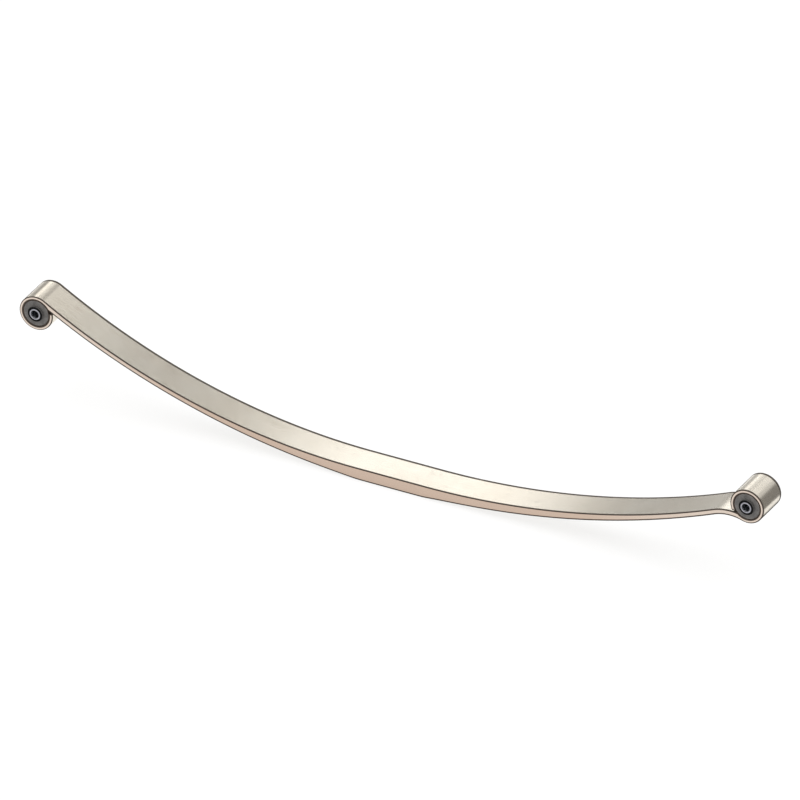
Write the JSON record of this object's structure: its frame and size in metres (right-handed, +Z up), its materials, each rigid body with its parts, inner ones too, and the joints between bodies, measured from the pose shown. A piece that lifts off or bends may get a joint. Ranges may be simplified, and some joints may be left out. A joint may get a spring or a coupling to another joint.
{
  "type": "leaf spring",
  "caption": "Single-leaf tapered suspension spring, cambered upward, with a rolled eye at each end, a rubber-metal bush in each eye and a flat clamping seat at mid-length.",
  "frame": {"origin": "middle of the flat seat's underside, the lowest point of the spring as it stands", "axes": "+Z up from the seat towards the eyes, +X along the leaf from the front (downturned) eye to the rear (upturned) eye, +Y across the leaf along the bush bores"},
  "size_m": [1.3146, 0.0674, 0.1728],
  "materials": {
    "spring_steel": "satin spring steel with a warm grey-beige cast",
    "coated_shell": "thin dark phosphated steel shell",
    "bush_rubber": "matt grey moulded rubber",
    "bare_sleeve": "bright turned steel",
    "collar_rubber": "black rubber"
  },
  "bodies": {
    "centre": {"leaf_centre": "spring_steel"},
    "front_arm": {"leaf_front_arm": "spring_steel", "front_bush_shell": "coated_shell", "front_bush_rubber": "bush_rubber"},
    "rear_arm": {"leaf_rear_arm": "spring_steel", "rear_bush_shell": "coated_shell", "rear_bush_rubber": "bush_rubber"},
    "front_sleeve": {"front_inner_sleeve": "bare_sleeve", "front_right_collar": "collar_rubber", "front_left_collar": "collar_rubber"},
    "rear_sleeve": {"rear_inner_sleeve": "bare_sleeve", "rear_right_collar": "collar_rubber", "rear_left_collar": "collar_rubber"}
  },
  "joints": [
    {"name": "front_arm_flex", "type": "hinge", "parent": "centre", "child": "front_arm", "pos_m": [-0.33833, 0, 0.05099], "axis": [0, -1, 0], "range_deg": [-3, 16], "stiffness_Nm_per_rad": 3330},
    {"name": "rear_arm_flex", "type": "hinge", "parent": "centre", "child": "rear_arm", "pos_m": [0.33428, 0, 0.04334], "axis": [0, 1, 0], "range_deg": [-3, 16], "stiffness_Nm_per_rad": 4520},
    {"name": "front_bush_twist", "type": "hinge", "parent": "front_arm", "child": "front_sleeve", "pos_m": [-0.628, 0, 0.1435], "axis": [0, -1, 0], "range_deg": [-25, 25], "stiffness_Nm_per_rad": 80},
    {"name": "rear_bush_twist", "type": "hinge", "parent": "rear_arm", "child": "rear_sleeve", "pos_m": [0.628, 0, 0.1435], "axis": [0, 1, 0], "range_deg": [-25, 25], "stiffness_Nm_per_rad": 80}
  ]
}
